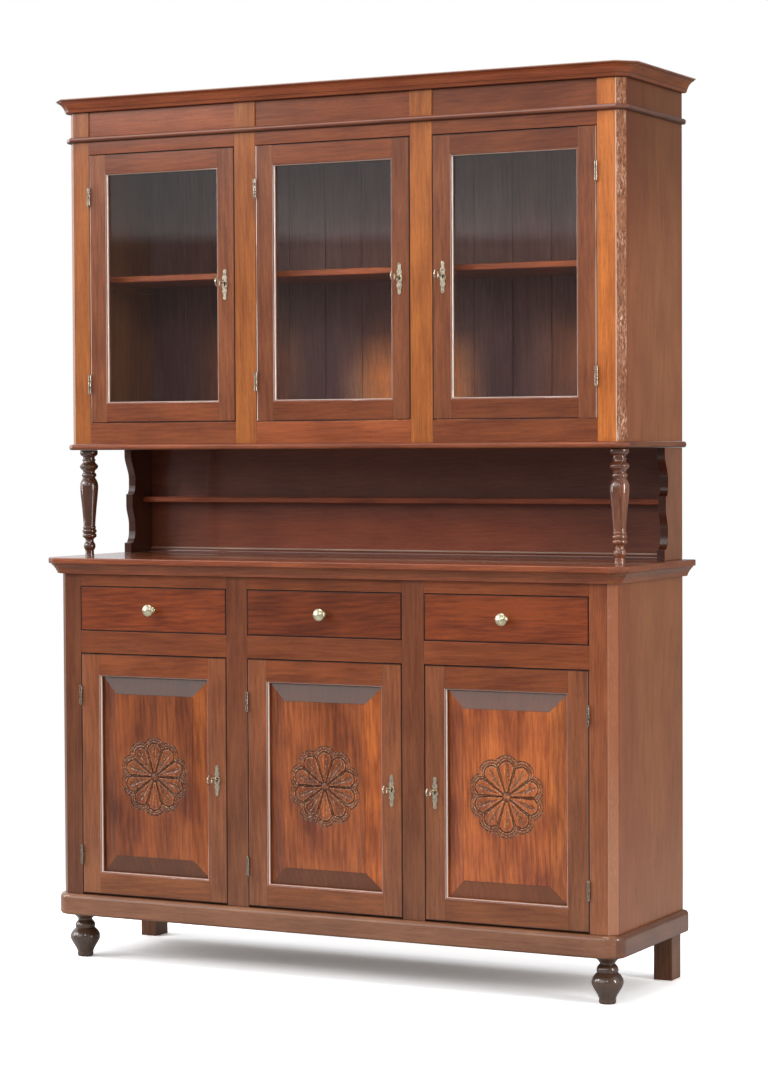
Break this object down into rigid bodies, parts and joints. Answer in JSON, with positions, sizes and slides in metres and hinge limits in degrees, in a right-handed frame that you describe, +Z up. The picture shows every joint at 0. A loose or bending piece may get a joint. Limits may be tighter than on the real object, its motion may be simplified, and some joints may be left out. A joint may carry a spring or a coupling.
{
  "type": "china cabinet",
  "caption": "Hardwood china cabinet: panelled base with drawers and carved rosettes, open niche with turned columns, glazed hutch with lockable doors.",
  "frame": {"origin": "on the floor, under the middle of the cabinet's bounding box", "axes": "+X to the right as seen from the front, +Y towards the wall at the back, +Z up; the doors face -Y"},
  "size_m": [1.546, 0.461, 2.112],
  "materials": {
    "red_wood": "satin",
    "orange_wood": "satin",
    "dark_wood": "gloss",
    "inner_wood": "bare",
    "pale_brass": "aged satin",
    "lock_steel": "dull",
    "pane_glass": "clear"
  },
  "bodies": {
    "cabinet": {"worktop": "red_wood", "base_side_left": "red_wood", "base_side_right": "red_wood", "base_back": "inner_wood", "base_bottom": "inner_wood", "plinth_frame": "red_wood", "base_face_frame": "orange_wood", "foot_front_left": "dark_wood", "foot_front_right": "dark_wood", "leg_rear_left": "red_wood", "leg_rear_right": "red_wood", "base_shelf": "inner_wood", "drawer_deck": "inner_wood", "hutch_side_left": "red_wood", "hutch_side_right": "red_wood", "hutch_back": "red_wood", "hutch_bottom": "orange_wood", "cornice": "red_wood", "bead_moulding": "red_wood", "hutch_face_frame": "orange_wood", "hutch_shelf": "red_wood", "column_left": "dark_wood", "column_right": "dark_wood", "bracket_left": "dark_wood", "bracket_right": "dark_wood", "niche_back": "dark_wood", "niche_shelf": "orange_wood"},
    "drawer_left": {"drawer_front_left": "red_wood", "drawer_box_left": "inner_wood", "drawer_knob_left": "pale_brass"},
    "drawer_middle": {"drawer_front_middle": "red_wood", "drawer_box_middle": "inner_wood", "drawer_knob_middle": "pale_brass"},
    "drawer_right": {"drawer_front_right": "red_wood", "drawer_box_right": "inner_wood", "drawer_knob_right": "pale_brass"},
    "base_door_left": {"base_door_frame_left": "orange_wood", "base_door_panel_left": "red_wood"},
    "base_key_left": {"base_key_left": "pale_brass"},
    "base_lock_bolt_left": {"base_lock_bolt_left": "lock_steel"},
    "base_door_middle": {"base_door_frame_middle": "orange_wood", "base_door_panel_middle": "red_wood"},
    "base_key_middle": {"base_key_middle": "pale_brass"},
    "base_lock_bolt_middle": {"base_lock_bolt_middle": "lock_steel"},
    "base_door_right": {"base_door_frame_right": "orange_wood", "base_door_panel_right": "red_wood"},
    "base_key_right": {"base_key_right": "pale_brass"},
    "base_lock_bolt_right": {"base_lock_bolt_right": "lock_steel"},
    "hutch_door_left": {"hutch_door_frame_left": "orange_wood", "hutch_door_glass_left": "pane_glass"},
    "hutch_key_left": {"hutch_key_left": "pale_brass"},
    "hutch_lock_bolt_left": {"hutch_lock_bolt_left": "lock_steel"},
    "hutch_door_middle": {"hutch_door_frame_middle": "orange_wood", "hutch_door_glass_middle": "pane_glass"},
    "hutch_key_middle": {"hutch_key_middle": "pale_brass"},
    "hutch_lock_bolt_middle": {"hutch_lock_bolt_middle": "lock_steel"},
    "hutch_door_right": {"hutch_door_frame_right": "orange_wood", "hutch_door_glass_right": "pane_glass"},
    "hutch_key_right": {"hutch_key_right": "pale_brass"},
    "hutch_lock_bolt_right": {"hutch_lock_bolt_right": "lock_steel"}
  },
  "joints": [
    {"name": "drawer_slide_left", "type": "slide", "parent": "cabinet", "child": "drawer_left", "axis": [0, -1, 0], "range_m": [0, 0.28]},
    {"name": "drawer_slide_middle", "type": "slide", "parent": "cabinet", "child": "drawer_middle", "axis": [0, -1, 0], "range_m": [0, 0.28]},
    {"name": "drawer_slide_right", "type": "slide", "parent": "cabinet", "child": "drawer_right", "axis": [0, -1, 0], "range_m": [0, 0.28]},
    {"name": "base_door_hinge_left", "type": "hinge", "parent": "cabinet", "child": "base_door_left", "pos_m": [-0.67425, -0.1877, 0.1655], "axis": [0, 0, -1], "range_deg": [0, 110]},
    {"name": "base_key_turn_left", "type": "hinge", "parent": "base_door_left", "child": "base_key_left", "pos_m": [-0.2905, -0.1835, 0.46475], "axis": [0, 1, 0], "range_deg": [0, 360]},
    {"name": "base_bolt_slide_left", "type": "slide", "parent": "base_door_left", "child": "base_lock_bolt_left", "axis": [1, 0, 0], "range_m": [0, 0.008]},
    {"name": "base_door_hinge_middle", "type": "hinge", "parent": "cabinet", "child": "base_door_middle", "pos_m": [-0.20525, -0.1877, 0.1655], "axis": [0, 0, -1], "range_deg": [0, 110]},
    {"name": "base_key_turn_middle", "type": "hinge", "parent": "base_door_middle", "child": "base_key_middle", "pos_m": [0.1785, -0.1835, 0.46475], "axis": [0, 1, 0], "range_deg": [0, 360]},
    {"name": "base_bolt_slide_middle", "type": "slide", "parent": "base_door_middle", "child": "base_lock_bolt_middle", "axis": [1, 0, 0], "range_m": [0, 0.008]},
    {"name": "base_door_hinge_right", "type": "hinge", "parent": "cabinet", "child": "base_door_right", "pos_m": [0.67425, -0.1877, 0.1655], "axis": [0, 0, 1], "range_deg": [0, 110]},
    {"name": "base_key_turn_right", "type": "hinge", "parent": "base_door_right", "child": "base_key_right", "pos_m": [0.2905, -0.1835, 0.46475], "axis": [0, -1, 0], "range_deg": [0, 360]},
    {"name": "base_bolt_slide_right", "type": "slide", "parent": "base_door_right", "child": "base_lock_bolt_right", "axis": [-1, 0, 0], "range_m": [0, 0.008]},
    {"name": "hutch_door_hinge_left", "type": "hinge", "parent": "cabinet", "child": "hutch_door_left", "pos_m": [-0.67425, -0.1357, 1.32], "axis": [0, 0, -1], "range_deg": [0, 110]},
    {"name": "hutch_key_turn_left", "type": "hinge", "parent": "hutch_door_left", "child": "hutch_key_left", "pos_m": [-0.2905, -0.1315, 1.652], "axis": [0, 1, 0], "range_deg": [0, 360]},
    {"name": "hutch_bolt_slide_left", "type": "slide", "parent": "hutch_door_left", "child": "hutch_lock_bolt_left", "axis": [1, 0, 0], "range_m": [0, 0.008]},
    {"name": "hutch_door_hinge_middle", "type": "hinge", "parent": "cabinet", "child": "hutch_door_middle", "pos_m": [-0.20525, -0.1357, 1.32], "axis": [0, 0, -1], "range_deg": [0, 110]},
    {"name": "hutch_key_turn_middle", "type": "hinge", "parent": "hutch_door_middle", "child": "hutch_key_middle", "pos_m": [0.1785, -0.1315, 1.652], "axis": [0, 1, 0], "range_deg": [0, 360]},
    {"name": "hutch_bolt_slide_middle", "type": "slide", "parent": "hutch_door_middle", "child": "hutch_lock_bolt_middle", "axis": [1, 0, 0], "range_m": [0, 0.008]},
    {"name": "hutch_door_hinge_right", "type": "hinge", "parent": "cabinet", "child": "hutch_door_right", "pos_m": [0.67425, -0.1357, 1.32], "axis": [0, 0, 1], "range_deg": [0, 110]},
    {"name": "hutch_key_turn_right", "type": "hinge", "parent": "hutch_door_right", "child": "hutch_key_right", "pos_m": [0.2905, -0.1315, 1.652], "axis": [0, -1, 0], "range_deg": [0, 360]},
    {"name": "hutch_bolt_slide_right", "type": "slide", "parent": "hutch_door_right", "child": "hutch_lock_bolt_right", "axis": [-1, 0, 0], "range_m": [0, 0.008]}
  ],
  "couplings": [
    {"joint": "base_bolt_slide_left", "follows": "base_key_turn_left", "m_per_rad": 0.00127},
    {"joint": "base_bolt_slide_middle", "follows": "base_key_turn_middle", "m_per_rad": 0.00127},
    {"joint": "base_bolt_slide_right", "follows": "base_key_turn_right", "m_per_rad": 0.00127},
    {"joint": "hutch_bolt_slide_left", "follows": "hutch_key_turn_left", "m_per_rad": 0.00127},
    {"joint": "hutch_bolt_slide_middle", "follows": "hutch_key_turn_middle", "m_per_rad": 0.00127},
    {"joint": "hutch_bolt_slide_right", "follows": "hutch_key_turn_right", "m_per_rad": 0.00127}
  ]
}
